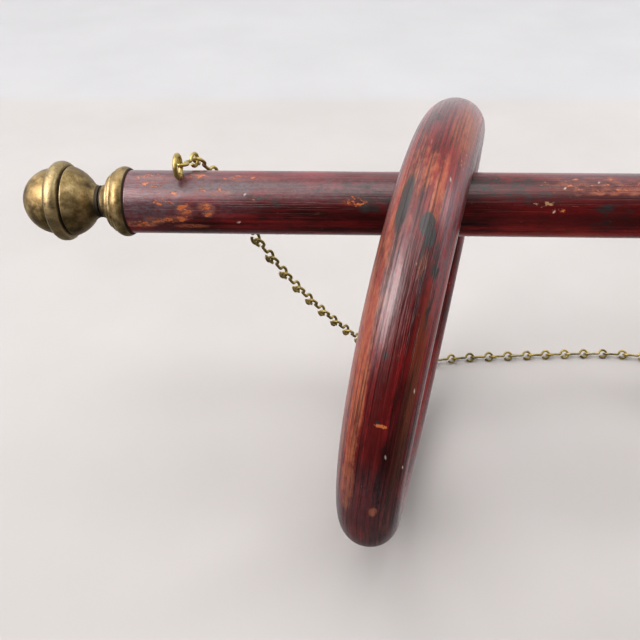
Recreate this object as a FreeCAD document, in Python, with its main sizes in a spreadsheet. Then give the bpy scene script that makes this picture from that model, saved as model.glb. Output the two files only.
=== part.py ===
"""A horizontal wooden rod with brass ball finials, two turned wooden rings that hang on it,
and a light brass jack chain that runs from one screw eye, behind the rings, to the other.

Frame: X along the rod, +Y to the back where the chain is, +Z up, origin on the rod's axis at its
middle. Lengths are in millimetres.
"""
import FreeCAD, Part
import math
import os

import Sketcher

V = FreeCAD.Vector
X_AXIS = V(1, 0, 0)
Y_AXIS = V(0, 1, 0)
Z_AXIS = V(0, 0, 1)
BISECTIONS = 40  # enough for any length that is found by halving an interval

doc = FreeCAD.newDocument("hanging_rings")
sheet = doc.addObject("Spreadsheet::Sheet", "Sizes")

# ---------------------------------------------------------------- driving dimensions
DIMENSIONS = {
    "rod_radius": 12.7,
    "rod_bare_half": 230.0,  # from the middle to a collar's inboard edge
    "spigot_radius": 11.5,
    "spigot_length": 5.9,
    "stud_radius": 2.45,
    "stud_hole_radius": 2.5,
    "stud_hole_depth": 24.0,
    "stud_length": 40.0,
    "stud_point_length": 4.0,
    "stud_end_gap": 0.5,  # between a stud's flat end and the floor of its finial's bore
    "finial_gap": 0.4,  # between a collar's neck and its finial
    "eye_along": 208.0,  # from the rod's middle
    "eye_height": 18.0,  # ring's centre above the rod's axis
    "eye_lean": 14.0,  # degrees forward of upright
    "eye_ring_radius": 4.15,
    "eye_wire_radius": 0.95,
    "eye_ring_sweep": 346.0,  # degrees, so the ring stays a little open at its shank
    "eye_shank_end": 3.5,  # height above the rod's axis where the point begins
    "eye_point_length": 2.5,
    "eye_hole_radius": 1.0,
    "eye_hole_floor": 0.5,  # height above the rod's axis where the hole ends
    "point_tip_radius": 0.15,  # of the studs' and the screw eyes' points
    "ring_radius": 87.5,
    "ring_section": 12.5,
    "ring_along": 110.0,
    "ring_yaw": 14.8,  # degrees: the rear half turns towards the rod's middle
    "ring_lean": 2.7,  # degrees: the top leans towards the rod's middle
    "hang_gap": 0.3,  # between a ring and the rod that it hangs on
    "wire_radius": 0.7,
    "loop_radius": 2.45,  # of the wire's centreline
    "throat_radius": 1.0,  # where the wire turns out of the link's shank into its loop
    "shank_half": 1.44,
    "loop_opening": 0.35,  # between a loop's end and its own shank
    "link_play": 0.18,
}

# Outlines of the turned brass, from the inboard end: station, distance along, radius, and the
# radius of the arc to the next station: above 0 for a bulge, below 0 for a hollow, 0 for straight.
COLLAR = [
    ("rim", 0.0, 12.9, 3.64),
    ("flange_end", 5.4, 12.9, 0),
    ("first_step", 5.4, 12.2, 0.85),
    ("first_ridge", 6.9, 11.7, 0),
    ("second_step", 7.0, 11.0, 0.85),
    ("second_ridge", 8.4, 10.4, 0),
    ("cove", 8.6, 9.6, -4.6),
    ("neck", 12.3, 6.5, 0),
    ("bore_out", 12.3, 2.6, 0),
    ("bore_in", 6.0, 2.6, 0),
    ("socket_floor", 6.0, 11.55, 0),
    ("socket_mouth", 0.0, 11.55, 0),
]
FINIAL = [
    ("neck", 0.0, 6.4, 0),
    ("neck_end", 0.9, 6.4, -5.5),
    ("waist", 4.4, 8.7, 14.0),
    ("bowl_edge", 11.9, 14.1, 0),
    ("groove_in", 12.1, 13.3, 0),
    ("groove_out", 12.7, 13.3, 0),
    ("bead_in", 12.9, 14.2, 2.62),
    ("bead_out", 18.1, 14.2, 0),
    ("dome_groove", 18.3, 13.4, 0),
    ("dome", 18.9, 13.4, 13.4),
    ("tip", 31.7, 0.0, 0),
    ("bore_end", 13.4, 0.0, 0),
    ("bore_shoulder", 12.0, 2.5, 0),
    ("bore_mouth", 0.0, 2.5, 0),
]
for part_name, outline in (("collar", COLLAR), ("finial", FINIAL)):
    for station, along, radius, curve in outline:
        DIMENSIONS[f"{part_name}_{station}_along"] = along
        DIMENSIONS[f"{part_name}_{station}_radius"] = radius
        if curve:
            DIMENSIONS[f"{part_name}_{station}_curve"] = abs(curve)

for row, (alias, value) in enumerate(DIMENSIONS.items(), start=1):
    sheet.set(f"A{row}", alias.replace("_", " "))
    sheet.set(f"B{row}", str(value))
    sheet.setAlias(f"B{row}", alias)
doc.recompute()


def size(alias):
    """A driving dimension, read from the sheet."""
    return float(sheet.get(alias))


def bind(thing, **expressions):
    """Bind an object's properties to expressions of the sheet's cells."""
    for name, expression in expressions.items():
        thing.setExpression(name, expression)


# ---------------------------------------------------------------- turned pieces
def arc_between(start, end, radius, bulges):
    """The arc from start to end, and whether it runs from start (it always turns anticlockwise)."""
    chord = end - start
    middle = (start + end) * 0.5
    outward = V(-chord.y, chord.x, 0).normalize()
    rise = math.sqrt(max(radius**2 - (chord.Length / 2) ** 2, 0))
    centre = middle - outward * rise if bulges else middle + outward * rise
    first, last = (end, start) if bulges else (start, end)
    angles = [math.atan2(p.y - centre.y, p.x - centre.x) for p in (first, last)]
    circle = Part.Circle(centre, Z_AXIS, radius)
    return Part.ArcOfCircle(circle, angles[0], angles[1]), not bulges


def pin_to_axis(sketch, name, vertex, along, radius):
    """Place one vertex of an outline by its distance along the axis and its radius."""
    for kind, axis_line, suffix, value in (
        ("DistanceX", -2, "along", along),
        ("DistanceY", -1, "radius", radius),
    ):
        if value == 0:
            sketch.addConstraint(Sketcher.Constraint("PointOnObject", *vertex, axis_line))
        else:
            index = sketch.addConstraint(Sketcher.Constraint(kind, -1, 1, *vertex, value))
            sketch.setExpression(f"Constraints[{index}]", f"Sizes.{name}_{suffix}")


def turned_body(name, part_name, outline):
    """A PartDesign body turned about X from an outline."""
    body = doc.addObject("PartDesign::Body", name)
    sketch = body.newObject("Sketcher::SketchObject", f"{name}_outline")
    plane = next(f for f in body.Origin.OriginFeatures if f.Role == "XZ_Plane")
    sketch.AttachmentSupport = [(plane, "")]
    sketch.MapMode = "FlatFace"
    points = [V(along, radius, 0) for _, along, radius, _ in outline]
    ends = []
    for index, (station, _, _, curve) in enumerate(outline):
        start, end = points[index], points[(index + 1) % len(points)]
        if curve:
            arc, forward = arc_between(start, end, abs(curve), curve > 0)
            geometry = sketch.addGeometry(arc, False)
            ends.append((geometry, 1, 2) if forward else (geometry, 2, 1))
        else:
            geometry = sketch.addGeometry(Part.LineSegment(start, end), False)
            ends.append((geometry, 1, 2))
    for index, (station, along, radius, curve) in enumerate(outline):
        geometry, first, _ = ends[index]
        before, _, last = ends[index - 1]
        sketch.addConstraint(Sketcher.Constraint("Coincident", before, last, geometry, first))
        pin_to_axis(sketch, f"{part_name}_{station}", (geometry, first), along, radius)
        if curve:
            number = sketch.addConstraint(Sketcher.Constraint("Radius", geometry, abs(curve)))
            sketch.setExpression(f"Constraints[{number}]", f"Sizes.{part_name}_{station}_curve")
    revolution = body.newObject("PartDesign::Revolution", f"{name}_turning")
    revolution.Profile = sketch
    revolution.ReferenceAxis = (sketch, ["H_Axis"])
    revolution.Angle = 360
    body.Tip = revolution
    return body


def cylinder(name, radius, height, placement):
    """A Part cylinder with its sizes bound to the sheet."""
    thing = doc.addObject("Part::Cylinder", name)
    bind(thing, Radius=radius, Height=height)
    thing.Placement = placement
    return thing


def cone(name, radius, height, placement):
    """A Part cone that narrows to a point, with its sizes bound to the sheet."""
    thing = doc.addObject("Part::Cone", name)
    bind(thing, Radius1=radius, Radius2="Sizes.point_tip_radius", Height=height)
    thing.Placement = placement
    return thing


def fused(name, shapes):
    """One solid from several that overlap."""
    thing = doc.addObject("Part::MultiFuse", name)
    thing.Shapes = shapes
    thing.Refine = True
    return thing


def towards(direction, start):
    """The placement that lays a shape's Z axis along a direction, from a starting point."""
    return FreeCAD.Placement(start, FreeCAD.Rotation(Z_AXIS, direction))


# ---------------------------------------------------------------- rod, collars, finials, studs
SIDES = (("left", -1), ("right", 1))
bare_half = size("rod_bare_half")
end_plane = bare_half + size("spigot_length")


def eye_frame(side):
    """The frame of a screw eye: its Z axis runs out of the rod, from the rod's axis."""
    lean = FreeCAD.Rotation(X_AXIS, size("eye_lean"))
    return FreeCAD.Placement(V(side * size("eye_along"), 0, 0), lean)


def make_rod():
    """The rod, with a spigot for the collar and a stud hole at each end, and two eye holes."""
    barrel = cylinder(
        "rod_barrel", "Sizes.rod_radius", "2 * Sizes.rod_bare_half",
        towards(X_AXIS, V(-bare_half, 0, 0)),
    )
    spigots = cylinder(
        "rod_spigots", "Sizes.spigot_radius", "2 * (Sizes.rod_bare_half + Sizes.spigot_length)",
        towards(X_AXIS, V(-end_plane, 0, 0)),
    )
    drills = []
    for name, side in SIDES:
        drills.append(cylinder(
            f"{name}_stud_drill", "Sizes.stud_hole_radius", "Sizes.stud_hole_depth",
            towards(X_AXIS * -side, V(side * end_plane, 0, 0)),
        ))
        hole_floor = FreeCAD.Placement(V(0, 0, size("eye_hole_floor")), FreeCAD.Rotation())
        drills.append(cylinder(
            f"{name}_eye_drill", "Sizes.eye_hole_radius", "Sizes.eye_height",
            eye_frame(side) * hole_floor,
        ))
    rod = doc.addObject("Part::Cut", "rod")
    rod.Base = fused("rod_blank", [barrel, spigots])
    rod.Tool = fused("rod_drills", drills)
    return rod


def at_end(side, along):
    """The placement of a turned piece whose outline starts this far from the rod's middle."""
    turn = FreeCAD.Rotation(Z_AXIS, 0 if side > 0 else 180)
    return FreeCAD.Placement(V(side * along, 0, 0), turn)


def make_end(name, side):
    """A collar and a finial at one end of the rod."""
    collar = turned_body(f"{name}_collar", "collar", COLLAR)
    collar.Placement = at_end(side, bare_half)
    finial = turned_body(f"{name}_finial", "finial", FINIAL)
    neck_plane = bare_half + size("collar_neck_along") + size("finial_gap")
    finial.Placement = at_end(side, neck_plane)
    return [collar, finial]


def make_studs():
    """The two hidden screws that hold the finials: each is threaded at both ends, with a point."""
    studs = []
    finial_bore_end = (
        bare_half + size("collar_neck_along") + size("finial_gap") + size("finial_bore_shoulder_along")
    )
    for name, side in SIDES:
        start = V(side * (finial_bore_end - size("stud_end_gap")), 0, 0)
        inward = X_AXIS * -side
        body_end = start + inward * (size("stud_length") - size("stud_point_length"))
        studs.append(fused(f"{name}_stud", [
            cylinder(
                f"{name}_stud_barrel", "Sizes.stud_radius",
                "Sizes.stud_length - Sizes.stud_point_length", towards(inward, start),
            ),
            cone(
                f"{name}_stud_point", "Sizes.stud_radius", "Sizes.stud_point_length",
                towards(inward, body_end),
            ),
        ]))
    pair = doc.addObject("Part::Compound", "finial_studs")
    pair.Links = studs
    return pair


# ---------------------------------------------------------------- screw eyes
def make_screw_eyes():
    """The two bent-wire screw eyes, each a ring that stays a little open beside its shank."""
    eyes = []
    for name, side in SIDES:
        frame = eye_frame(side)
        centre = V(0, 0, size("eye_height"))
        ring = doc.addObject("Part::Torus", f"{name}_eye_ring")
        bind(ring, Radius1="Sizes.eye_ring_radius", Radius2="Sizes.eye_wire_radius",
             Angle3="Sizes.eye_ring_sweep")
        # The ring starts at its lowest point, where the shank leaves it.
        upright = FreeCAD.Rotation(Z_AXIS * -1, Y_AXIS, X_AXIS, "ZXY")
        ring.Placement = frame * FreeCAD.Placement(centre, upright)
        shank_top = V(0, 0, size("eye_height") - size("eye_ring_radius"))
        down = Z_AXIS * -1
        point_start = V(0, 0, size("eye_shank_end"))
        shank = cylinder(
            f"{name}_eye_shank", "Sizes.eye_wire_radius",
            "Sizes.eye_height - Sizes.eye_ring_radius - Sizes.eye_shank_end",
            frame * towards(down, shank_top),
        )
        point = cone(
            f"{name}_eye_point", "Sizes.eye_wire_radius", "Sizes.eye_point_length",
            frame * towards(down, point_start),
        )
        eyes.append(fused(f"{name}_screw_eye", [ring, shank, point]))
    pair = doc.addObject("Part::Compound", "screw_eyes")
    pair.Links = eyes
    return pair


# ---------------------------------------------------------------- wooden rings
def ring_turn(side):
    """How a hanging ring is turned: its own Z axis lies along the rod, then yawed and leant."""
    yaw = FreeCAD.Rotation(Z_AXIS, size("ring_yaw") * side)
    lean = FreeCAD.Rotation(Y_AXIS, size("ring_lean") * -side)
    return yaw * lean * FreeCAD.Rotation(Y_AXIS, 90)


def hanging_drop(turn):
    """How far a ring's centre hangs below the rod's axis when its inner face meets the rod."""
    reach = size("ring_section") + size("rod_radius") + size("hang_gap")
    circle = [
        turn.multVec(V(math.cos(a), math.sin(a), 0) * size("ring_radius"))
        for a in (math.radians(step) for step in range(360))
    ]
    low, high = 0.0, size("ring_radius")
    for _ in range(BISECTIONS):
        drop = (low + high) / 2
        nearest = min(math.hypot(p.y, p.z - drop) for p in circle)
        low, high = (drop, high) if nearest > reach else (low, drop)
    return low


def make_ring(name, side):
    """A turned wooden ring, hanging on the rod with its centre straight below the rod's axis."""
    turn = ring_turn(side)
    ring = doc.addObject("Part::Torus", f"{name}_ring")
    bind(ring, Radius1="Sizes.ring_radius", Radius2="Sizes.ring_section")
    ring.Placement = FreeCAD.Placement(V(side * size("ring_along"), 0, -hanging_drop(turn)), turn)
    return ring


# ---------------------------------------------------------------- chain
def link_path():
    """The centreline of one link, along X: a loop upright in XZ at its start, one flat at its end."""
    loop, throat, shank = size("loop_radius"), size("throat_radius"), size("shank_half")
    centre = math.sqrt(loop**2 + 2 * loop * throat)
    meet = math.atan2(throat, centre)  # where the throat's arc becomes the loop's
    clear = 2 * size("wire_radius") + size("loop_opening")  # from the loop's end to the shank's
    last = 2 * math.pi - math.acos((centre**2 + loop**2 - clear**2) / (2 * centre * loop))

    def on_loop(angle):
        return V(shank + centre - loop * math.cos(angle), loop * math.sin(angle), 0)

    def on_throat(angle):
        return V(shank + throat * math.sin(angle), throat - throat * math.cos(angle), 0)

    half = [
        Part.LineSegment(V(0, 0, 0), V(shank, 0, 0)).toShape(),
        Part.Arc(on_throat(0), on_throat((math.pi / 2 - meet) / 2),
                 on_throat(math.pi / 2 - meet)).toShape(),
        Part.Arc(on_loop(meet), on_loop((meet + last) / 2), on_loop(last)).toShape(),
    ]
    turned = [edge.rotated(V(0, 0, 0), X_AXIS, 90) for edge in half]
    upright_start = [edge.mirror(V(0, 0, 0), X_AXIS) for edge in turned]
    return Part.Wire(Part.__sortEdges__(upright_start + half))


def link_reach():
    """From a link's middle to the centreline of the wire at the far side of its loop."""
    loop = size("loop_radius")
    return size("shank_half") + math.sqrt(loop**2 + 2 * loop * size("throat_radius")) + loop


# The chain's way from the left eye: over the rod's back, down, and along the floor that the
# rings hang just clear of. The right half of the fall mirrors the left one.
FALL = [
    V(-198.6, 16.2, 5.2),
    V(-194.3, 18.4, -7.5),
    V(-184.2, 21.5, -30.0),
    V(-162.7, 33.5, -71.0),
    V(-138.2, 49.5, -109.0),
    V(-114.2, 65.5, -139.0),
    V(-94.5, 78.0, -154.0),
    V(-72.3, 87.0, -159.1),
]
ALONG = [
    V(-40.0, 90.6, -159.3),
    V(0.0, 93.8, -159.3),
    V(35.0, 95.2, -159.3),
    V(64.0, 91.5, -159.0),
]
EYE_EXIT = V(0.33, 0.92, -0.20).normalize()  # the way that the first link leaves the left eye
EYE_SIDE = V(0, EYE_EXIT.y, EYE_EXIT.z).normalize()  # the side of the eye's ring that it hooks on
EYE_TANGENT = X_AXIS.cross(EYE_SIDE)  # the way the eye's wire runs there
FACING = V(0, -0.77, 0.64)  # the flat loops face this way, to the front and up
LEFT_TWIST_LINKS = 9  # the links beside each eye that take up the twist to meet its wire
RIGHT_TWIST_LINKS = 17
LINKS = 51
SPACING_LIMITS = (11.0, 14.0)
ROUTE_STEPS = 400


def step_along(route, start, point, spacing):
    """The parameter of the next point of the route that is one spacing from this one, or None."""
    last = route.LastParameter
    if (route.value(last) - point).Length < spacing:
        return None
    high = start
    while (route.value(min(high, last)) - point).Length < spacing:
        high += (last - route.FirstParameter) / ROUTE_STEPS
    low, high = start, min(high, last)
    for _ in range(BISECTIONS):
        middle = (low + high) / 2
        near = (route.value(middle) - point).Length < spacing
        low, high = (middle, high) if near else (low, middle)
    return high


def joints_along(route, spacing, count):
    """The points where the links hook together, or None if the route is too short for them."""
    joints = [route.StartPoint]
    parameter = route.FirstParameter
    while len(joints) < count:
        parameter = step_along(route, parameter, joints[-1], spacing)
        if parameter is None:
            return None
        joints.append(route.value(parameter))
    return joints


def chain_joints(first):
    """Every joint between two links. Their spacing is the one that ends on the right eye's link."""
    left = [first] + FALL
    right = [V(-p.x, p.y, p.z) for p in reversed(left[:-1])]
    route = Part.BSplineCurve()
    route.interpolate(left + ALONG + right)
    short, long = SPACING_LIMITS
    for _ in range(BISECTIONS):
        spacing = (short + long) / 2
        fits = joints_along(route, spacing, LINKS - 1) is not None
        short, long = (spacing, long) if fits else (short, spacing)
    nominal = 2 * (link_reach() - size("wire_radius")) - size("link_play")
    print(f"links are {short:.3f} mm apart, and {nominal:.3f} mm is their own pitch")
    return joints_along(route, short, LINKS - 1)


def twist_to(facing, wanted, along):
    """The smallest twist about a link that lays its facing along a wanted line, in degrees."""
    angle = math.degrees(math.atan2(along.dot(facing.cross(wanted)), facing.dot(wanted)))
    return (angle + 90) % 180 - 90


def link_facings(alongs):
    """Which way each link's flat loop faces: FACING at the middle, carried along without twisting,
    then twisted beside each eye so that the loop there closes round the eye's wire."""
    facings = [FACING] * len(alongs)
    middle = len(alongs) // 2
    for index in range(middle - 1, -1, -1):
        bend = FreeCAD.Rotation(alongs[index + 1], alongs[index])
        facings[index] = bend.multVec(facings[index + 1])
    for index in range(middle + 1, len(alongs)):
        bend = FreeCAD.Rotation(alongs[index - 1], alongs[index])
        facings[index] = bend.multVec(facings[index - 1])
    left_twist = twist_to(facings[0], alongs[0].cross(EYE_TANGENT), alongs[0])
    right_twist = twist_to(facings[-1], EYE_TANGENT, alongs[-1])
    for index, along in enumerate(alongs):
        left_share = max(0, 1 - index / LEFT_TWIST_LINKS)
        right_share = max(0, 1 - (len(alongs) - 1 - index) / RIGHT_TWIST_LINKS)
        twist = left_twist * left_share + right_twist * right_share
        facings[index] = FreeCAD.Rotation(along, twist).multVec(facings[index])
    print(f"the chain twists {left_twist:.0f} degrees to its left eye and {right_twist:.0f} to its right")
    return facings


def link_spans():
    """Where the wire at each link's two far ends lies, link by link."""
    wire, play = size("wire_radius"), size("link_play")
    left_eye = eye_frame(-1).multVec(V(0, 0, size("eye_height")))
    hooked_wire = left_eye + EYE_SIDE * size("eye_ring_radius")
    left_hook = hooked_wire - EYE_EXIT * (size("eye_wire_radius") + wire + play)
    joints = chain_joints(left_hook + EYE_EXIT * (2 * link_reach() - wire - play / 2))
    ends = [left_hook] + joints + [V(-left_hook.x, left_hook.y, left_hook.z)]
    starts_at, ends_at = [left_hook], []
    for before, joint, after in zip(ends, joints, ends[2:]):
        bisector = (joint - before).normalize() + (after - joint).normalize()
        apart = bisector.normalize() * (wire + play / 2)
        ends_at.append(joint + apart)
        starts_at.append(joint - apart)
    return list(zip(starts_at, ends_at + [ends[-1]]))


def make_chain():
    """The links, each a bent wire with two open loops a quarter turn apart."""
    path = doc.addObject("Part::Feature", "link_path")
    path.Shape = link_path()
    first_edge = path.Shape.OrderedEdges[0]
    section = doc.addObject("Part::Circle", "link_section")
    section.setExpression("Radius", "Sizes.wire_radius")
    tangent = first_edge.tangentAt(first_edge.FirstParameter)
    section.Placement = towards(tangent, path.Shape.OrderedVertexes[0].Point)
    spans = link_spans()
    alongs = [(end - start).normalize() for start, end in spans]
    links = []
    for index, facing in enumerate(link_facings(alongs)):
        link = doc.addObject("Part::Sweep", f"chain_link_{index + 1:02d}")
        link.Sections = [section]
        link.Spine = (path, [])
        link.Solid = True
        link.Frenet = False
        turn = FreeCAD.Rotation(alongs[index], V(0, 0, 0), facing, "XZY")
        link.Placement = FreeCAD.Placement((spans[index][0] + spans[index][1]) * 0.5, turn)
        links.append(link)
    return links


# ---------------------------------------------------------------- the whole object
def check(things):
    """Stop if any object failed, or any sub-part isn't made of valid solids."""
    for thing in doc.Objects:
        if {"Invalid", "Error"} & set(thing.State):
            raise RuntimeError(f"{thing.Name} failed: {thing.State}")
    for thing in things:
        shape = thing.Shape
        if shape.isNull() or not shape.isValid() or not shape.Solids:
            raise RuntimeError(f"{thing.Label} has no valid solid")


sub_parts = [make_rod(), make_studs(), make_screw_eyes()]
for side_name, side_sign in SIDES:
    sub_parts += make_end(side_name, side_sign)
    sub_parts.append(make_ring(side_name, side_sign))
sub_parts += make_chain()
doc.recompute()
check(sub_parts)
os.makedirs("parts", exist_ok=True)
for sub_part in sub_parts:
    sub_part.Shape.exportStep(f"parts/{sub_part.Label}.step")
print(f"{len(sub_parts)} sub-parts written")
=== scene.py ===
import math

import bpy
import numpy as np
from mathutils import Matrix, Vector, noise


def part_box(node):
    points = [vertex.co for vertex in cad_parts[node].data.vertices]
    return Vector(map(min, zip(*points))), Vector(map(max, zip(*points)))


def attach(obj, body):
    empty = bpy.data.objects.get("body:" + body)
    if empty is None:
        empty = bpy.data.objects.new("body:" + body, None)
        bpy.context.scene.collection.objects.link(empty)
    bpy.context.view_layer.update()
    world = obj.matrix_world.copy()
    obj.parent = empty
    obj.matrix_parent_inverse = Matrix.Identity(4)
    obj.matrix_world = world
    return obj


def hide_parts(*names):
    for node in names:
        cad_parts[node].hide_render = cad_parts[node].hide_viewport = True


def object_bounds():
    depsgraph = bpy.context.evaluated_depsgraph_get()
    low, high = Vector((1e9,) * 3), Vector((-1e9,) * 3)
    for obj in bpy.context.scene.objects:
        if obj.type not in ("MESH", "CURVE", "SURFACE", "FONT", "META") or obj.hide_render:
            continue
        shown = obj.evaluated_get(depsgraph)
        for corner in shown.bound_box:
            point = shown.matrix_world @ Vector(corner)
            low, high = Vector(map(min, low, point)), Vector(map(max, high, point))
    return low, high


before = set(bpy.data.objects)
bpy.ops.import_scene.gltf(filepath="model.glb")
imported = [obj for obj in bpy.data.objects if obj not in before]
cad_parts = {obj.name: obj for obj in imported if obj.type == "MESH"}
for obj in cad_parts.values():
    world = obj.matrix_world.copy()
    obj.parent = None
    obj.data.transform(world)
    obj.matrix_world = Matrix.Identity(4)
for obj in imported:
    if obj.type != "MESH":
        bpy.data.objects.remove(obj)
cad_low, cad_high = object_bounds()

MM = 0.001
SIDES = (("left", -1), ("right", 1))


# ---------------------------------------------------------------- node helpers
class Material:
    """A node material under construction: each call adds a node and returns its main output."""

    def __init__(self, name, **shader_values):
        self.data = bpy.data.materials.new(name)
        self.data.use_nodes = True
        self.nodes = self.data.node_tree.nodes
        self.links = self.data.node_tree.links
        self.shader = self.nodes["Principled BSDF"]
        self.place = self.node("TexCoord").outputs["Object"]
        for socket, value in shader_values.items():
            self.feed(self.shader.inputs[socket.replace("_", " ")], value)

    def node(self, kind, **properties):
        node = self.nodes.new("ShaderNode" + kind)
        for key, value in properties.items():
            setattr(node, key, value)
        return node

    def feed(self, socket, value):
        """Link a socket to another, or set its value."""
        if isinstance(value, bpy.types.NodeSocket):
            self.links.new(value, socket)
        elif hasattr(socket.default_value, "__len__") and len(value) < len(socket.default_value):
            socket.default_value = (*value, 1)
        else:
            socket.default_value = value

    def maths(self, operation, *values, clamp=False):
        node = self.node("Math", operation=operation, use_clamp=clamp)
        for socket, value in zip(node.inputs, values):
            self.feed(socket, value)
        return node.outputs[0]

    def vector(self, operation, *values, output=0):
        node = self.node("VectorMath", operation=operation)
        for socket, value in zip(node.inputs, values):
            self.feed(socket, value)
        return node.outputs[output]

    def noise(self, place, size_mm, detail, seed, roughness=0.55):
        """Noise, 0 to 1, whose features are about this size. The place is in metres, and so is the
        seed if it is a socket, because it is then a fourth coordinate.
        """
        node = self.node("TexNoise", noise_dimensions="4D")
        scale = 1 / (size_mm * MM)
        self.feed(node.inputs["Vector"], place)
        if isinstance(seed, bpy.types.NodeSocket):
            self.feed(node.inputs["W"], seed)
        else:
            self.feed(node.inputs["W"], seed / scale)
        self.feed(node.inputs["Scale"], scale)
        self.feed(node.inputs["Detail"], detail)
        self.feed(node.inputs["Roughness"], roughness)
        return node.outputs[0]

    def between(self, value, low, high, bottom=0.0, top=1.0):
        """A smooth step of a value: bottom under low, top over high."""
        node = self.node("MapRange", interpolation_type="SMOOTHSTEP")
        for socket, number in zip(node.inputs, (value, low, high, bottom, top)):
            self.feed(socket, number)
        return node.outputs[0]

    def mix(self, share, first, second):
        """The first colour at share 0, and the second at share 1."""
        node = self.node("Mix", data_type="RGBA")
        for key, value in (("Factor", share), ("A", first), ("B", second)):
            wanted = "VALUE" if key == "Factor" else "RGBA"
            socket = next(s for s in node.inputs if s.name == key and s.type == wanted)
            self.feed(socket, value)
        return next(s for s in node.outputs if s.type == "RGBA")

    def ramp(self, value, *stops):
        """A colour for each value, from (position, colour) stops."""
        node = self.node("ValToRGB")
        self.feed(node.inputs[0], value)
        elements = node.color_ramp.elements
        while len(elements) < len(stops):
            elements.new(0.5)
        for element, (position, colour) in zip(elements, stops):
            element.position = position
            element.color = (*colour, 1)
        return node.outputs[0]

    def field(self, name):
        """A number that the mesh code left at each point."""
        return self.node("Attribute", attribute_name=name).outputs["Fac"]

    def bump(self, height, depth_mm, under=None):
        """A bumped normal, on top of another if one is given."""
        node = self.node("Bump")
        self.feed(node.inputs["Height"], height)
        self.feed(node.inputs["Distance"], depth_mm * MM)
        if under is not None:
            self.feed(node.inputs["Normal"], under)
        return node.outputs[0]

    def finish(self, **sockets):
        """Feed the shader, and give back the material."""
        for socket, value in sockets.items():
            self.feed(self.shader.inputs[socket.replace("_", " ")], value)
        return self.data


# ---------------------------------------------------------------- wood
BLACK_RED = (0.020, 0.0013, 0.0020)
DEEP_RED = (0.072, 0.0018, 0.0026)
RED = (0.22, 0.007, 0.008)
BRIGHT_RED = (0.38, 0.026, 0.014)
WORN_RED = (0.50, 0.150, 0.062)
ORANGE = (0.58, 0.16, 0.045)
OLIVE = (0.13, 0.060, 0.024)
STAIN = (0.022, 0.026, 0.025)
# Dust haze and painted sheen, a pale lavender-grey.
DUST_AND_SHEEN = (0.155, 0.112, 0.128)
TAN = (0.44, 0.26, 0.12)
SPECK = (0.85, 0.76, 0.66)
ROD_LINES = 0.24  # how strongly the grain's lines show on the rod
RING_LINES = 1.0  # and on the rings


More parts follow.
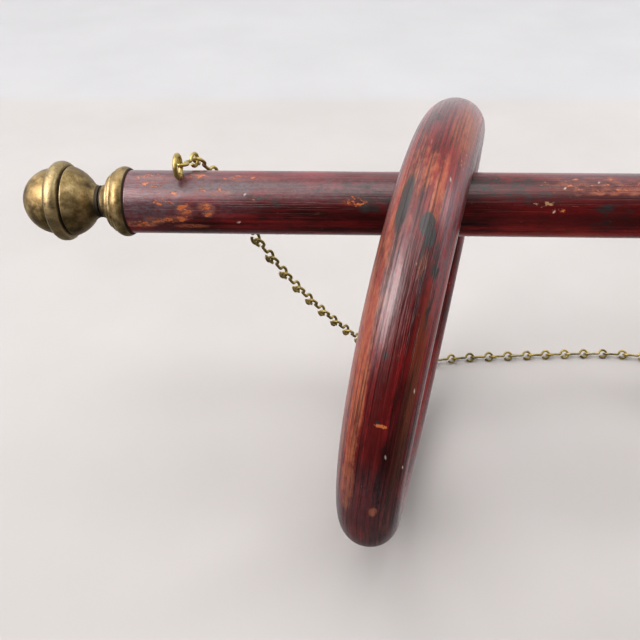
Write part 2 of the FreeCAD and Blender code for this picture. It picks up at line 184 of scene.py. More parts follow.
def wood(name, grain, seed, lines):
    """Old red lacquer on turned wood, under a thin clear coat.

    grain(material, stretch) gives the grain's place and fourth coordinate: stretch is the share of
    the distance along the grain that counts. lines, 0 to 1, is how strongly the grain's lines show.
    """
    m = Material(
        name, Specular_IOR_Level=0.38, Sheen_Weight=0.04, Sheen_Roughness=0.30,
        Sheen_Tint=(0.92, 0.78, 0.82), Coat_Weight=0.42, Coat_Roughness=0.22,
    )

    def layer(stretch, size_mm, detail, offset, roughness):
        """Noise stretched along the grain."""
        place, fourth = grain(m, stretch)
        return m.noise(place, size_mm, detail, m.maths("ADD", fourth, (seed + offset) * 0.1), roughness)

    cloud = layer(0.35, 12, 5, 1, 0.6)
    streak = layer(0.018, 0.75, 3, 2, 0.6)
    band = layer(0.03, 3.4, 4, 3, 0.6)
    crumbs = layer(0.6, 1.1, 5, 4, 0.7)
    flakes = layer(0.45, 2.2, 6, 5, 0.72)
    shards = layer(0.55, 1.3, 5, 6, 0.70)

    depth = m.maths("ADD", m.maths("MULTIPLY", cloud, 0.5), m.maths("MULTIPLY", band, 0.5))
    colour = m.ramp(depth, (0.37, BLACK_RED), (0.45, DEEP_RED), (0.55, RED), (0.66, BRIGHT_RED))
    colour = m.mix(m.between(streak, 0.50, 0.68, 0, 0.5 * lines), colour, BRIGHT_RED)
    smudges = m.between(flakes, 0.51, 0.64, 0, 0.60)
    colour = m.mix(smudges, colour, BLACK_RED)
    grooves = m.between(streak, 0.47, 0.33)
    colour = m.mix(m.maths("MULTIPLY", grooves, 0.55 * lines), colour, BLACK_RED)
    # Painted shade: a band darkened to deep red where the lacquer faces the dark room in front and
    # mirrors nothing bright.
    colour = m.mix(m.maths("MULTIPLY", m.field("painted_shade"), 0.8), colour, DEEP_RED)

    ragged = m.maths("SUBTRACT", flakes, 0.5)
    worn = m.maths("ADD", m.field("worn"), m.maths("MULTIPLY", ragged, 2.4))
    worn = m.maths("MULTIPLY", m.between(worn, 0.22, 1.05), m.between(streak, 0.34, 0.56, 0.4, 1))
    # Wear, and on the left ring's left flank partly painted light: the worn orange lightens the side
    # the window light falls on.
    colour = m.mix(m.maths("MULTIPLY", worn, 0.80), colour, WORN_RED)
    olive = m.maths("MULTIPLY", m.field("olive"), m.between(band, 0.36, 0.60, 0.15, 0.85))
    colour = m.mix(olive, colour, OLIVE)
    # Dust haze and painted sheen: a pale lavender-grey where the lacquer would gleam with the room's
    # light.
    dust_and_sheen = m.maths("MULTIPLY", m.field("dust_and_sheen"), m.between(crumbs, 0.35, 0.66, 0.35, 0.85))
    colour = m.mix(dust_and_sheen, colour, DUST_AND_SHEEN)
    stained = m.maths("ADD", m.field("stain"), m.maths("MULTIPLY", ragged, 1.8))
    stained = m.between(stained, 0.36, 0.78)
    colour = m.mix(m.maths("MULTIPLY", stained, 0.92), colour, STAIN)
    chip_edge = m.maths("MULTIPLY", m.maths("SUBTRACT", shards, 0.5), 3.6)
    chipped = m.between(m.maths("ADD", m.field("chip"), chip_edge), 0.62, 0.74)
    colour = m.mix(chipped, colour, ORANGE)
    bared = m.between(m.maths("ADD", m.field("tan"), chip_edge), 0.62, 0.78)
    colour = m.mix(bared, colour, TAN)
    colour = m.mix(m.field("speck"), colour, SPECK)

    finish = m.between(crumbs, 0.3, 0.7, 0.27, 0.40)
    finish = m.maths("ADD", finish, m.maths("MULTIPLY", stained, 0.12))
    finish = m.maths("ADD", finish, m.maths("MULTIPLY", worn, 0.12), clamp=True)
    normal = m.bump(m.maths("ADD", streak, m.maths("MULTIPLY", grooves, -0.6)), 0.40 * lines)
    flaked = m.maths("MULTIPLY", m.maths("ADD", chipped, bared), -0.8)
    normal = m.bump(m.maths("ADD", crumbs, flaked), 0.10, normal)
    return m.finish(Base_Color=colour, Roughness=finish, Normal=normal)


def grain_along_rod(m, stretch):
    """The rod's grain runs along X, and its fourth coordinate stays at 0."""
    return m.vector("MULTIPLY", m.place, (stretch, 1, 1)), 0.0


def grain_round_ring(m, stretch):
    """The ring's own Z is its axis, so the grain follows the circle round it without a seam."""
    across = m.node("SeparateXYZ")
    m.feed(across.inputs[0], m.place)
    flat = m.vector("MULTIPLY", m.place, (1, 1, 0))
    outward = m.maths("SUBTRACT", m.vector("LENGTH", flat, output=1), RING_RADIUS)
    lift = m.node("CombineXYZ")
    m.feed(lift.inputs["Z"], outward)
    circle = m.vector("SCALE", m.vector("NORMALIZE", flat))
    circle.node.inputs["Scale"].default_value = RING_RADIUS * stretch
    return m.vector("ADD", circle, lift.outputs[0]), across.outputs["Z"]


# ---------------------------------------------------------------- brass and the rest
TURNED_TONES = (0.075, 0.050, 0.020), (0.25, 0.182, 0.078), (0.52, 0.405, 0.225)
CHAIN_TONES = (0.15, 0.112, 0.038), (0.40, 0.32, 0.115), (0.64, 0.53, 0.23)
GRIME_AND_SHADE = (0.022, 0.016, 0.009)
RUBBED_BRASS = (0.62, 0.52, 0.31)


def brass(name, dark, body, bright, turned):
    """Old brass: dark with dirt where it is hollow and with painted shade where a piece meets its
    neighbours, brighter where it is rubbed, and with fine lathe lines about X if it is turned.
    """
    m = Material(name, Metallic=1.0, Specular_IOR_Level=0.5)
    mottle = m.noise(m.place, 3.6, 5, 1, 0.65)
    spots = m.noise(m.place, 0.8, 4, 2, 0.7)
    smoke = m.noise(m.place, 11, 3, 3)
    tone = m.maths("ADD", m.maths("MULTIPLY", mottle, 0.5), m.maths("MULTIPLY", smoke, 0.5))
    colour = m.ramp(tone, (0.36, dark), (0.50, body), (0.66, bright))
    colour = m.mix(m.between(spots, 0.52, 0.70, 0, 0.6), colour, dark)
    uneven = m.maths("MULTIPLY", m.maths("SUBTRACT", spots, 0.5), 0.5)
    hollow = m.maths("ADD", m.field("hollow"), uneven)
    # Dirt in the hollows, and painted shade where a piece meets its neighbours.
    grime_and_shade = m.between(hollow, 0.06, 0.60)
    rubbed = m.between(hollow, -0.75, -1.40)
    colour = m.mix(m.maths("MULTIPLY", grime_and_shade, 0.9), colour, GRIME_AND_SHADE)
    colour = m.mix(m.maths("MULTIPLY", rubbed, 0.7), colour, RUBBED_BRASS)
    finish = m.between(mottle, 0.35, 0.65, 0.36, 0.54)
    finish = m.maths("ADD", finish, m.maths("MULTIPLY", grime_and_shade, 0.3))
    finish = m.maths("SUBTRACT", finish, m.maths("MULTIPLY", rubbed, 0.08), clamp=True)
    normal = m.bump(spots, 0.05)
    if turned:
        lines = m.noise(m.vector("MULTIPLY", m.place, (1, 0.04, 0.04)), 0.45, 2, 4)
        normal = m.bump(lines, 0.035, normal)
    metal = m.maths("SUBTRACT", 0.72, m.maths("MULTIPLY", grime_and_shade, 0.45))
    return m.finish(Base_Color=colour, Roughness=finish, Metallic=metal, Normal=normal)


def steel(name):
    """Zinc-grey screw steel with a thread's fine rings."""
    m = Material(name, Metallic=1.0)
    haze = m.noise(m.place, 1.5, 4, 1)
    rings = m.noise(m.vector("MULTIPLY", m.place, (1, 0.02, 0.02)), 0.9, 1, 2)
    colour = m.ramp(haze, (0.35, (0.20, 0.20, 0.19)), (0.65, (0.48, 0.47, 0.44)))
    roughness = m.between(haze, 0.3, 0.7, 0.3, 0.5)
    return m.finish(Base_Color=colour, Roughness=roughness, Normal=m.bump(rings, 0.2))


def floor_finish(name, tone_edge_y):
    """Matt and pale, a touch warmer in front of an edge far behind the rod."""
    m = Material(name, Specular_IOR_Level=0.2)
    cloth = m.noise(m.place, 160, 3, 1)
    tooth = m.noise(m.place, 1.6, 3, 2)
    warm = m.ramp(cloth, (0.35, (0.500, 0.480, 0.466)), (0.65, (0.530, 0.510, 0.496)))
    cool = m.ramp(cloth, (0.35, (0.50, 0.50, 0.508)), (0.65, (0.525, 0.525, 0.532)))
    axes = m.node("SeparateXYZ")
    m.feed(axes.inputs[0], m.place)
    far = m.between(axes.outputs["Y"], tone_edge_y - 0.03, tone_edge_y + 0.03)
    roughness = m.between(tooth, 0.3, 0.7, 0.62, 0.72)
    return m.finish(Base_Color=m.mix(far, warm, cool), Roughness=roughness, Normal=m.bump(tooth, 0.02))


# ---------------------------------------------------------------- meshes
def grid_object(name, points, close_rows=False):
    """A mesh from rows of points, each row closed. The rows close on each other, or are capped."""
    rows, columns, _ = points.shape
    index = np.arange(rows * columns).reshape(rows, columns)
    last = rows if close_rows else rows - 1
    faces = []
    for row in range(last):
        here, after = index[row], index[(row + 1) % rows]
        quads = np.stack([here, np.roll(here, -1), np.roll(after, -1), after], axis=1)
        faces += quads.tolist()
    if not close_rows:
        faces += [index[0][::-1].tolist(), index[-1].tolist()]
    mesh = bpy.data.meshes.new(name)
    mesh.from_pydata(points.reshape(-1, 3).tolist(), [], faces)
    mesh.polygons.foreach_set("use_smooth", [True] * len(mesh.polygons))
    thing = bpy.data.objects.new(name, mesh)
    bpy.context.scene.collection.objects.link(thing)
    return thing


def leave_field(thing, name, values):
    """Store one number for each point, for the material to read."""
    attribute = thing.data.attributes.new(name, "FLOAT", "POINT")
    attribute.data.foreach_set("value", np.asarray(values, np.float32).ravel())


# Kinds of mark. The first is painted shade, and the fourth is dust haze with a painted sheen. The rest
# are the lacquer's own wear, olive tone, stains, chips, bare patches and specks, though the second also
# paints light on the left ring's left flank.
KINDS = ("painted_shade", "worn", "olive", "dust_and_sheen", "stain", "chip", "tan", "speck")
SPOT_INNER, SPOT_OUTER = 0.55, 1.25  # where a mark begins to fade and ends, in its own half sizes


def soft_spot(distance):
    """1 inside a mark, 0 outside it, and a smooth step between."""
    share = np.clip((SPOT_OUTER - distance) / (SPOT_OUTER - SPOT_INNER), 0, 1)
    return share * share * (3 - 2 * share)


def marked(along_mm, degrees, radius_mm, marks, lap_mm=None):
    """Fields of wear, stains, painted shade and painted sheen over a tube. A mark is kind, place
    along, degrees round, half its length and width in millimetres, and strength. lap_mm is the tube's
    length if it closes on itself.
    """
    fields = {kind: np.zeros(along_mm.shape) for kind in KINDS}
    for kind, at_mm, at_degrees, half_length, half_width, strength in marks:
        off = along_mm - at_mm
        if lap_mm:
            off = (off + lap_mm / 2) % lap_mm - lap_mm / 2
        turn = (degrees - at_degrees + 180) % 360 - 180
        around = np.radians(turn) * radius_mm
        spot = soft_spot(np.hypot(off / half_length, around / half_width)) * strength
        fields[kind] = np.maximum(fields[kind], spot)
    return fields


def noise_over(first, second, third):
    """Perlin noise for arrays of coordinates."""
    flat = zip(first.ravel(), second.ravel(), third.ravel())
    return np.array([noise.noise(Vector(p)) for p in flat]).reshape(first.shape)


# ---------------------------------------------------------------- rod
ROD_RADIUS_MM = (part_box("rod")[1].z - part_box("rod")[0].z) / 2 / MM
ROD_HALF_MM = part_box("rod")[1].x / MM
SPIGOT_MM = 5.9  # how far each end goes into its collar, turned down to fit it
SPIGOT_STEP_MM = 1.2
ROD_STEPS, ROD_ROUND = 720, 112
ROD_FLATS_MM, ROD_NICKS_MM = 0.05, 0.02  # how deep the hand wear and the small nicks go
ROD_STAIN_MM, ROD_CHIP_MM = 0.05, 0.07  # and how far a stain and a chip sink in
ROD_MEAN_WEAR_MM, ROD_MOST_WEAR_MM = 0.06, 0.3
# The place along is in millimetres from the middle. Degrees are 0 at the front, 90 on top and 180 at
# the back.
# The first three marks are painted shade along the front, and the next six are dust haze with painted
# sheen, most near the left end.
ROD_MARKS = [
    ("painted_shade", -52, 24, 52, 9, 0.8), ("painted_shade", -128, 34, 34, 8, 0.6), ("painted_shade", 120, 30, 50, 9, 0.7),
    ("dust_and_sheen", -222, 52, 22, 17, 0.95), ("dust_and_sheen", -196, 60, 26, 9, 0.8),
    ("dust_and_sheen", -160, 62, 30, 8, 0.6), ("dust_and_sheen", -128, 60, 22, 8, 0.55),
    ("dust_and_sheen", -200, 20, 24, 5, 0.5), ("dust_and_sheen", -40, 84, 34, 5, 0.5),
    ("worn", -225, -17, 9, 2.6, 0.66), ("worn", -218, -8, 7, 2.2, 0.62),
    ("worn", -197, 15, 4.2, 3.4, 0.75), ("worn", -206, 13, 4.5, 3.0, 0.72),
    ("worn", -210, -4, 7, 1.6, 0.72), ("worn", -204, -20, 8, 1.8, 0.66),
    ("worn", -214, 26, 5, 2.4, 0.50), ("worn", -220, 72, 9, 3.2, 0.52),
    ("worn", -201, 80, 7, 2.2, 0.62), ("worn", -199, 51, 4, 1.8, 0.52),
    ("worn", -192, 47, 6, 2.4, 0.46), ("worn", -139, 31, 7, 2.8, 0.50),
    ("worn", -46, 66, 26, 6, 0.52), ("worn", -180, 74, 14, 3, 0.44),
    ("worn", -60, -38, 40, 4, 0.36), ("stain", -216, 12, 5, 4, 0.42),
    ("stain", -174, 28, 8, 5, 0.46), ("stain", -145, 58, 15, 6, 0.55),
    ("stain", -131, 30, 11, 6, 0.62), ("stain", -44, -13, 8, 4, 0.58),
    ("stain", -41, 18, 10, 4, 0.50), ("stain", -84, 62, 18, 8, 0.52),
    ("stain", -68, 46, 16, 6, 0.44), ("stain", -198, 68, 10, 5, 0.42),
    ("tan", -68, 29, 4.2, 1.5, 0.62), ("chip", -62, 19, 5, 1.0, 0.62),
    ("chip", -57, 26, 3.5, 0.6, 0.55), ("chip", -206, 14, 3.6, 2.8, 0.66),
    ("chip", -197, 12, 2.6, 3.6, 0.64), ("chip", -210, -3, 6, 1.8, 0.62),
    ("chip", -224, -16, 7, 2.0, 0.62), ("chip", -216, -10, 5, 1.8, 0.62),
    ("chip", -204, -21, 6, 1.6, 0.58), ("chip", -220, 78, 7, 2.6, 0.50),
    ("chip", -219, 60, 5, 2.2, 0.46), ("chip", -201, 80, 5, 1.6, 0.66),
    ("chip", -199, 51, 3, 1.4, 0.60), ("chip", -210, 42, 2.4, 1.4, 0.62),
    ("chip", -192, 47, 4, 1.6, 0.50), ("chip", -214, 27, 5, 2.0, 0.48),
    ("chip", -184, 76, 8, 1.8, 0.44), ("chip", -48, 66, 22, 5, 0.36),
    ("chip", -179, 34, 3.4, 0.7, 0.5), ("chip", -139, 31, 5, 2.2, 0.56),
    ("speck", -185, -9, 0.43, 0.43, 1), ("speck", -64, 16, 0.37, 0.37, 0.9),
    ("speck", -47, 72, 0.43, 0.37, 0.8), ("speck", -60, 58, 0.31, 0.31, 0.7),
    ("speck", -101, 60, 0.31, 0.31, 0.6), ("speck", -182, 42, 0.31, 0.31, 0.6),
    # Out of the front left view, marks of the same kinds, dust haze with painted sheen among them.
    ("dust_and_sheen", 20, 70, 60, 10, 0.6), ("dust_and_sheen", 150, 60, 55, 12, 0.7),
    ("dust_and_sheen", 214, 50, 18, 14, 0.9), ("worn", 30, -20, 18, 3, 0.5), ("worn", 84, 35, 10, 4, 0.55),
    ("worn", 205, -12, 9, 3, 0.66), ("worn", 217, 30, 6, 3, 0.6), ("worn", 192, 64, 9, 3, 0.55),
    ("worn", -170, 160, 16, 5, 0.5), ("worn", -20, 170, 30, 5, 0.5), ("worn", 130, 150, 24, 6, 0.5),
    ("worn", 120, 230, 20, 5, 0.45), ("stain", 0, 45, 14, 6, 0.52), ("stain", 62, 78, 18, 7, 0.55),
    ("stain", 168, 20, 12, 6, 0.5), ("stain", -110, 150, 14, 7, 0.5),
    ("stain", 60, 200, 18, 7, 0.55), ("stain", 180, 140, 14, 6, 0.5), ("chip", 12, 30, 4, 1.2, 0.6),
    ("chip", 140, 40, 5, 1.4, 0.55), ("chip", 208, 5, 4, 2, 0.5), ("chip", -60, 165, 6, 1.5, 0.55),
    ("chip", 100, 175, 5, 1.5, 0.5), ("speck", 90, 50, 0.43, 0.43, 0.9),
    ("speck", 170, 30, 0.37, 0.37, 0.8), ("speck", -150, 150, 0.43, 0.43, 0.8),
    ("speck", 40, 190, 0.37, 0.37, 0.8),
]


def make_rod(material):
    """The rod: a dowel with slight flats, dents and hand wear, and a turned-down end each side."""
    along = np.linspace(-ROD_HALF_MM, ROD_HALF_MM, ROD_STEPS)[:, None]
    degrees = np.linspace(0, 360, ROD_ROUND, endpoint=False)[None, :]
    along, degrees = np.broadcast_arrays(along, degrees)
    angle = np.radians(degrees)
    fields = marked(along, degrees, ROD_RADIUS_MM, ROD_MARKS)
    flats = noise_over(along * 0.012, np.cos(angle) * 1.3, np.sin(angle) * 1.3)
    nicks = noise_over(along * 0.16, np.cos(angle) * 5, np.sin(angle) * 5)
    worn_in = ROD_MEAN_WEAR_MM + ROD_FLATS_MM * flats + ROD_NICKS_MM * nicks
    worn_in = worn_in + ROD_STAIN_MM * fields["stain"] + ROD_CHIP_MM * fields["chip"]
    turned_down = np.where(np.abs(along) > ROD_HALF_MM - SPIGOT_MM, SPIGOT_STEP_MM, 0.0)
    radius = (ROD_RADIUS_MM - np.clip(worn_in, 0, ROD_MOST_WEAR_MM) - turned_down) * MM
    points = np.stack([along * MM, -radius * np.cos(angle), radius * np.sin(angle)], axis=2)
    rod = grid_object("rod_lacquered", points)
    for name, values in fields.items():
        leave_field(rod, name, values)
    rod.data.materials.append(material)
    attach(rod, "rod")
    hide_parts("rod")


# ---------------------------------------------------------------- rings
RING_YAW = 14.8  # degrees: each ring's rear half turns towards the rod's middle
RING_LEAN = 2.7  # degrees: its top leans towards the rod's middle
SECTION_MM = 12.5
RING_RADIUS = 87.5 * MM
RING_STEPS, RING_ROUND = 540, 168
LAP_MM = 2 * math.pi * RING_RADIUS / MM
ARC_MM = LAP_MM / 360  # one degree round the ring
RING_RIDGES_MM, RING_FLATS_MM = 0.04, 0.06  # how deep the turning ridges and the flats are
RING_STAIN_MM, RING_CHIP_MM = 0.05, 0.10  # and how far a stain and a chip sink in
RING_MEAN_WEAR_MM, RING_MOST_WEAR_MM = 0.10, 0.35
# The place along is in degrees from the ring's top towards its front. The degrees round the section
# are 0 outside, and above 0 on the side that the ring's axis points to, which is +X.
# Among these, a dark band down the front of the tube is painted shade, and the pale lavender-grey marks
# are dust haze and painted sheen.
LEFT_RING_MARKS = [
    ("painted_shade", 62, 3, 44, 3.0, 0.9), ("painted_shade", 96, 10, 12, 8, 0.5), ("painted_shade", 200, 10, 60, 6, 0.7),
    ("stain", 29, -31, 13, 2.7, 0.78), ("stain", 33, 12, 3.7, 2.5, 1.8),
    ("stain", 35.5, 22, 3.0, 1.8, 1.3), ("stain", 39, 36, 8, 1.5, 0.62),
    ("stain", 46, 45, 12, 1.4, 0.60), ("stain", 38, 12, 4, 2.2, 0.5),
    ("stain", 58, -4, 1.3, 1.0, 0.75), ("stain", 71, 3, 1.4, 1.2, 0.8),
    # The worn marks well below 0 degrees, down the left flank, are wear and partly painted light: they
    # lighten the side the window light falls on.
    ("stain", 3, -20, 9, 2.4, 0.42), ("worn", 18, -22, 15, 3.0, 0.56),
    ("worn", 35, -52, 18, 3.6, 0.62), ("worn", 52, -50, 26, 3.6, 0.64),
    ("worn", 71, -36, 27, 3.8, 0.84), ("worn", 88, -34, 16, 4.0, 0.74),
    ("worn", 94, 18, 3.0, 1.7, 0.95), ("worn", 21, -2, 9, 2.6, 0.66),
    ("worn", 26, 17, 17, 2.5, 0.72), ("worn", 41, 20, 6, 1.5, 0.55),
    ("worn", 29, -14, 12, 1.3, 0.52), ("worn", 100, 40, 12, 3, 0.45), ("olive", 3, 34, 24, 6, 0.50),
    ("worn", 5, 36, 17, 7, 0.62), ("worn", 60, -62, 62, 4.2, 0.72),
    ("worn", 42, -40, 56, 5.5, 0.58), ("olive", 70, 45, 42, 2.6, 0.9),
    ("olive", 56, 42, 20, 2.4, 0.6), ("dust_and_sheen", -2, -8, 20, 7, 0.40),
    ("dust_and_sheen", 30, 55, 34, 3.4, 0.9), ("dust_and_sheen", 45, -18, 24, 3.6, 0.75),
    ("dust_and_sheen", 98, 0, 26, 13, 0.45), ("dust_and_sheen", 80, -62, 40, 3, 0.5),
    ("chip", 71.5, 8, 0.66, 2.4, 1.5), ("chip", 57, 11, 1.4, 0.8, 0.8),
    ("chip", 15, 50, 5, 3, 0.38), ("speck", 13, -15, 0.46, 0.37, 1),
    ("speck", 63, 27, 0.37, 0.37, 1), ("speck", 82, 60, 0.56, 0.31, 1),
    ("speck", 78, 24, 0.22, 0.22, 0.8), ("speck", 87, 8, 0.22, 0.22, 0.7),
    ("speck", 22, 30, 0.25, 0.25, 0.7), ("speck", 64, 52, 0.31, 0.25, 0.8),
    # Round the back and inside, marks of the same kinds, dust haze with painted sheen among them.
    ("worn", 150, 0, 40, 5, 0.55), ("worn", 200, -60, 30, 4, 0.55), ("worn", 250, 20, 36, 4, 0.6),
    ("worn", 310, -30, 30, 4, 0.55), ("worn", 180, 180, 40, 4, 0.5), ("worn", 0, 180, 26, 6, 0.62),
    ("stain", 170, 40, 12, 3, 0.7), ("stain", 230, -20, 16, 3, 0.62), ("stain", 290, 10, 7, 3, 0.8),
    ("stain", 120, 160, 14, 3, 0.6), ("stain", 330, 150, 12, 3, 0.6),
    ("stain", 266, 60, 5, 2.4, 0.8), ("olive", 220, 50, 50, 4, 0.8),
    ("olive", 130, -30, 40, 4, 0.7), ("dust_and_sheen", 320, 20, 40, 7, 0.6),
    ("dust_and_sheen", 190, -10, 40, 6, 0.5), ("speck", 240, 5, 0.43, 0.37, 1),
    ("speck", 300, -22, 0.31, 0.31, 0.9), ("speck", 160, 25, 0.37, 0.31, 0.9),
    ("chip", 205, 10, 0.5, 2.6, 1.1), ("chip", 285, -40, 2, 1, 0.6),
]
# The other ring has its own marks, painted shade and painted sheen among them: the same kinds of mark,
# each moved round by its own amount, and turned to the other side of the section.
RIGHT_RING_MARKS = [
    (kind, place + 137 + 23 * math.sin(2.4 * index), turn * -0.8 + 11 * math.cos(1.7 * index),
     half_length, half_width, strength)
    for index, (kind, place, turn, half_length, half_width, strength) in enumerate(LEFT_RING_MARKS)
]


def make_ring(name, side, material, marks, seed):
    """A turned ring: a torus with turning ridges, flats and sunk marks, in the CAD ring's place."""
    along_degrees = np.linspace(0, 360, RING_STEPS, endpoint=False)[:, None]
    degrees = np.linspace(0, 360, RING_ROUND, endpoint=False)[None, :]
    along_degrees, degrees = np.broadcast_arrays(along_degrees, degrees)
    lap, turn = np.radians(along_degrees), np.radians(degrees)
    in_mm = [(kind, place * ARC_MM, *rest) for kind, place, *rest in marks]
    fields = marked(along_degrees * ARC_MM, degrees, SECTION_MM, in_mm, LAP_MM)
    drift = np.cos(lap) * 0.9 + np.sin(lap) * 0.7 + seed
    ridges = noise_over(np.cos(turn) * 13, np.sin(turn) * 13, drift)
    flats = noise_over(np.cos(lap) * 2.2 + seed, np.sin(lap) * 2.2, np.cos(turn) + np.sin(turn))
    worn_in = RING_MEAN_WEAR_MM + RING_RIDGES_MM * ridges + RING_FLATS_MM * flats
    worn_in = worn_in + RING_STAIN_MM * fields["stain"] + RING_CHIP_MM * fields["chip"]
    section = (SECTION_MM - np.clip(worn_in, 0, RING_MOST_WEAR_MM)) * MM
    out = RING_RADIUS + section * np.cos(turn)
    points = np.stack([out * np.cos(lap), out * np.sin(lap), section * np.sin(turn)], axis=2)
    ring = grid_object(f"{name}_ring_lacquered", points, close_rows=True)
    for field_name, values in fields.items():
        leave_field(ring, field_name, values)
    ring.data.materials.append(material)
    yaw = Matrix.Rotation(math.radians(RING_YAW * side), 3, "Z")
    lean = Matrix.Rotation(math.radians(-RING_LEAN * side), 3, "Y")
    axis = yaw @ lean @ Vector((1, 0, 0))
    top = (Vector((0, 0, 1)) - axis * axis.z).normalized()
    front = axis.cross(top)
    low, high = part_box(f"{name}_ring")
    facing = Matrix((top, front, axis)).transposed().to_4x4()
    ring.matrix_world = Matrix.Translation((low + high) / 2) @ facing
    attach(ring, f"{name}_ring")
    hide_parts(f"{name}_ring")


# ---------------------------------------------------------------- turned brass
# Outlines from the inboard end: millimetres along, radius, and the radius of the arc to the next
# point: above 0 for a bulge, below 0 for a hollow, 0 for straight.
COLLAR_MM = [
    (0.0, 12.9, 3.64), (5.4, 12.9, 0), (5.4, 12.2, 0.85), (6.9, 11.7, 0), (7.0, 11.0, 0.85),
    (8.4, 10.4, 0), (8.6, 9.6, -4.6), (12.3, 6.5, 0), (12.3, 2.6, 0), (6.0, 2.6, 0),
    (6.0, 11.55, 0), (0.0, 11.55, 0),
]
FINIAL_MM = [
    (13.4, 0.06, 0), (12.0, 2.5, 0), (0.0, 2.5, 0), (0.0, 6.4, 0), (0.9, 6.4, -5.5), (4.4, 8.7, 14.0),
    (11.9, 14.1, 0), (12.1, 13.3, 0), (12.7, 13.3, 0), (12.9, 14.2, 2.62), (18.1, 14.2, 0),
    (18.3, 13.4, 0), (18.9, 13.4, 13.4), (31.7, 0.06, 0),
]
# Painted shade: the stretches where a collar or finial meets its neighbours, darkened like the deepest
# groove.
COLLAR_SHADED_MM = [(-1, 0.5), (11.5, 13)]
FINIAL_SHADED_MM = [(-1, 1.3)]
PROFILE_STEP_MM = 0.16
TURNED_ROUND = 144
EDGE_STEPS = 2  # how many steps each side an edge is softened over
HOLLOW_STEPS = 7  # how far to each side a groove or ridge is felt for
HOLLOW_MM = 0.22  # how deep a full groove is, felt that way
DENT_MM = 0.07
BORE_MM = 3.0  # nothing nearer the axis than this is dented


def profile_points(outline, closed):
    """Close points along an outline of lines and arcs, with its edges a little softened."""
    corners = [np.array(p[:2], float) for p in outline]
    curves = [p[2] for p in outline]
    count = len(corners) if closed else len(corners) - 1
    points = []
    for index in range(count):
        start, end, curve = corners[index], corners[(index + 1) % len(corners)], curves[index]
        chord = end - start
        length = np.hypot(*chord)
        share = np.linspace(0, 1, max(2, round(length / PROFILE_STEP_MM)), endpoint=False)[:, None]
        run = start + chord * share
        if curve:
            outward = np.array([-chord[1], chord[0]]) / length * (1 if curve > 0 else -1)
            rise = math.sqrt(max(curve**2 - (length / 2) ** 2, 0))
            centre = (start + end) / 2 - outward * rise
            spoke = run - centre
            run = centre + spoke / np.hypot(spoke[:, 0], spoke[:, 1])[:, None] * abs(curve)
        points.append(run)
    if not closed:
        points.append(corners[-1][None, :])
    points = np.concatenate(points)
    return smoothed(points, EDGE_STEPS, closed)


def smoothed(points, reach, closed):
    """The running mean of a row of points, over this many neighbours each way."""
    mode = "wrap" if closed else "edge"
    padded = np.pad(points, ((reach, reach), (0, 0)), mode=mode)
    mean = sum(padded[i:i + len(points)] for i in range(2 * reach + 1)) / (2 * reach + 1)
    if not closed:
        mean[[0, -1]] = points[[0, -1]]
    return mean


def make_turned(node, outline, side, closed, material, shaded_mm):
    """A lathe-turned piece about X in its CAD node's place, with softened edges and small dents.
    The stretches given are where it meets its neighbours, and painted shade darkens them.
    """
    profile = profile_points(outline, closed)
    sideways = np.gradient(profile, axis=0)[:, ::-1] * (-1, 1)
    outward = sideways / np.maximum(np.hypot(sideways[:, 0], sideways[:, 1]), 1e-9)[:, None]
    hollow = ((smoothed(profile, HOLLOW_STEPS, closed) - profile) * outward).sum(1) / HOLLOW_MM
    # Painted shade where the piece meets its neighbours: the field is set full there.
    for first, last in shaded_mm:
        hollow[(profile[:, 0] >= first) & (profile[:, 0] <= last)] = 1
    turn = np.linspace(0, 2 * math.pi, TURNED_ROUND, endpoint=False)[None, :]
    along, radius = profile[:, :1], profile[:, 1:]
    along, radius, turn = np.broadcast_arrays(along, radius, turn)
    across, up = np.cos(turn) * radius, np.sin(turn) * radius
    dents = noise_over(along * 0.3 + side * 9, across * 0.22, up * 0.22)
    radius = radius - DENT_MM * np.clip(dents, 0, 1) * (radius > BORE_MM)
    low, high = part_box(node)
    start = low.x if side > 0 else high.x
    x = start + side * along * MM
    points = np.stack([x, radius * np.cos(turn) * MM, radius * np.sin(turn) * MM], axis=2)
    if side < 0:
        points = points[:, ::-1]
    thing = grid_object(f"{node}_turned", points, close_rows=closed)
    leave_field(thing, "hollow", np.broadcast_to(np.clip(hollow, -1, 1)[:, None], turn.shape))
    thing.data.materials.append(material)
    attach(thing, "rod")
    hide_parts(node)


# ---------------------------------------------------------------- the object
rod_wood = wood("rod_lacquer", grain_along_rod, 3.0, ROD_LINES)
turned_brass = brass("turned_brass", *TURNED_TONES, turned=True)
chain_brass = brass("chain_brass", *CHAIN_TONES, turned=False)
make_rod(rod_wood)
left_wood = wood("left_ring_lacquer", grain_round_ring, 11.0, RING_LINES)
right_wood = wood("right_ring_lacquer", grain_round_ring, 29.0, RING_LINES)
make_ring("left", -1, left_wood, LEFT_RING_MARKS, 0.0)
make_ring("right", 1, right_wood, RIGHT_RING_MARKS, 5.0)
for side_name, side_sign in SIDES:
    make_turned(f"{side_name}_collar", COLLAR_MM, side_sign, True, turned_brass, COLLAR_SHADED_MM)
    make_turned(f"{side_name}_finial", FINIAL_MM, side_sign, False, turned_brass, FINIAL_SHADED_MM)
for node_name, node_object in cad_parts.items():
    if node_name.startswith("chain_link") or node_name == "screw_eyes":
        finish = chain_brass
    elif node_name == "finial_studs":
        finish = steel("stud_steel")
    else:
        continue
    node_object.data.materials.clear()
    node_object.data.materials.append(finish)
    node_object.data.polygons.foreach_set("use_smooth", [True] * len(node_object.data.polygons))

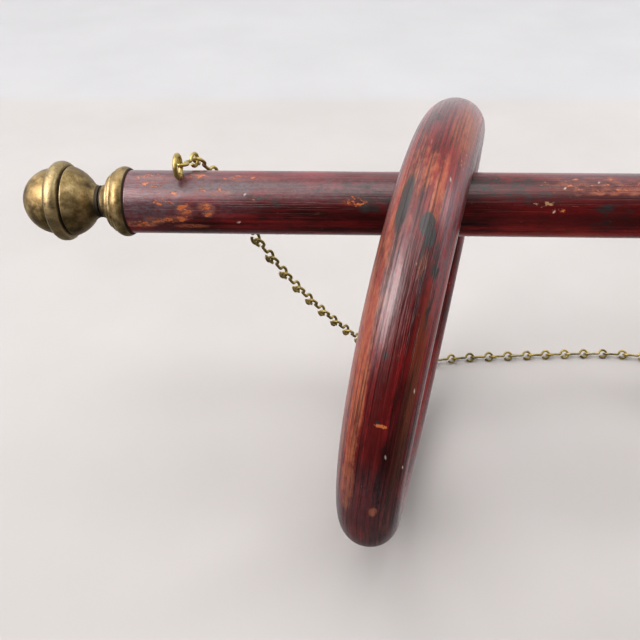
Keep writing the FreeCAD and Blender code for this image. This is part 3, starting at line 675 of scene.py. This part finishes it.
# ---------------------------------------------------------------- floor, light and camera
FLOOR_HALF = 12.0
FLOOR_CORNERS = [(-1, -1, 0), (1, -1, 0), (1, 1, 0), (-1, 1, 0)]
FLOOR_TONE_EDGE = 0.61  # behind the rod
FLOOR_DROP = 0.00002  # below the lowest CAD point
floor_mesh = bpy.data.meshes.new("floor")
floor_points = [(x * FLOOR_HALF, y * FLOOR_HALF, z) for x, y, z in FLOOR_CORNERS]
floor_mesh.from_pydata(floor_points, [], [(0, 1, 2, 3)])
floor_mesh.materials.append(floor_finish("floor_white", FLOOR_TONE_EDGE))
floor = bpy.data.objects.new("floor", floor_mesh)
floor.location.z = cad_low.z - FLOOR_DROP
floor.visible_glossy = False  # the worn lacquer barely mirrors it
bpy.context.scene.collection.objects.link(floor)


def soft_light(name, azimuth, elevation, distance, width, height, power, colour):
    """An area light aimed at the left ring. Azimuth is from +Y towards +X."""
    data = bpy.data.lights.new(name, "AREA")
    data.shape = "RECTANGLE"
    data.size, data.size_y = width, height
    data.energy = power
    data.color = colour
    light = bpy.data.objects.new(name, data)
    turn, rise = math.radians(azimuth), math.radians(elevation)
    away = Vector((math.sin(turn) * math.cos(rise), math.cos(turn) * math.cos(rise), math.sin(rise)))
    low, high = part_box("left_ring")
    light.location = (low + high) / 2 + away * distance
    light.rotation_euler = away.to_track_quat("Z", "Y").to_euler()
    bpy.context.scene.collection.objects.link(light)
    return light


# Name, azimuth and elevation in degrees, distance, width and height, power in watts, and colour.
soft_light("window_left", -124, 41, 5.0, 2.8, 2.6, 72, (1.0, 0.965, 0.955))
soft_light("ceiling", 180, 84, 4.0, 2.8, 2.8, 62, (1.0, 0.985, 0.97))
soft_light("window_back", -45, 52, 4.0, 1.6, 1.3, 16, (1.0, 0.98, 0.96))
soft_light("window_right", 82, 34, 4.0, 1.2, 1.6, 34, (0.94, 0.95, 1.0))
gleam = soft_light("gleam_left", -124, 41, 5.0, 3.0, 2.8, 430, (1.0, 0.88, 0.86))
gleam.visible_diffuse = False  # seen only as a reflection

# The room is brightest at the back and above, and dark in front and below, as the lacquer shows it.
# The camera itself sees a pale one.
DARK_SIDE = (0.05, -0.80, -0.60)
ROOM_STOPS = ((0.15, 0.84), (0.48, 0.56), (0.70, 0.07))  # from opposite the dark side, to facing it
ROOM_TINT = (1.0, 0.99, 1.0)
PALE_ROOM = (0.70, 0.69, 0.69, 1)
world = bpy.data.worlds.new("studio")
world.use_nodes = True
tree = world.node_tree
background = tree.nodes["Background"]
direction = tree.nodes.new("ShaderNodeTexCoord")
facing = tree.nodes.new("ShaderNodeVectorMath")
facing.operation = "DOT_PRODUCT"
facing.inputs[1].default_value = DARK_SIDE
room = tree.nodes.new("ShaderNodeValToRGB")
for stop, (position, grey) in enumerate(ROOM_STOPS):
    if stop > 1:
        room.color_ramp.elements.new(position)
    room.color_ramp.elements[stop].position = position
    room.color_ramp.elements[stop].color = (*(grey * share for share in ROOM_TINT), 1)
seen = tree.nodes.new("ShaderNodeLightPath")
pale = tree.nodes.new("ShaderNodeMix")
pale.data_type = "RGBA"
pale.inputs[7].default_value = PALE_ROOM
tree.links.new(direction.outputs["Generated"], facing.inputs[0])
spread = tree.nodes.new("ShaderNodeMapRange")
spread.inputs["From Min"].default_value = -1
tree.links.new(facing.outputs["Value"], spread.inputs["Value"])
tree.links.new(spread.outputs["Result"], room.inputs[0])
tree.links.new(seen.outputs["Is Camera Ray"], pale.inputs[0])
tree.links.new(room.outputs[0], pale.inputs[6])
tree.links.new(pale.outputs[2], background.inputs["Color"])
bpy.context.scene.world = world

camera_data = bpy.data.cameras.new("camera")
camera_data.lens = 34.875
camera_data.sensor_width = 36.0
camera_data.clip_start = 0.01
camera = bpy.data.objects.new("camera", camera_data)
CAMERA_PLACE = Vector((-0.1430, -0.2264, 0.1173))
HEADING, LOOK_DOWN, ROLL = 2.84, 38.02, -0.82  # degrees
heading = Matrix.Rotation(math.radians(HEADING), 4, "Z")
look = Matrix.Rotation(math.radians(90 - LOOK_DOWN), 4, "X")
roll = Matrix.Rotation(math.radians(ROLL), 4, "Z")
camera.matrix_world = Matrix.Translation(CAMERA_PLACE) @ heading @ look @ roll
bpy.context.scene.collection.objects.link(camera)
bpy.context.scene.camera = camera
bpy.context.scene.view_settings.view_transform = "Standard"
bpy.context.scene.view_settings.look = "Medium High Contrast"
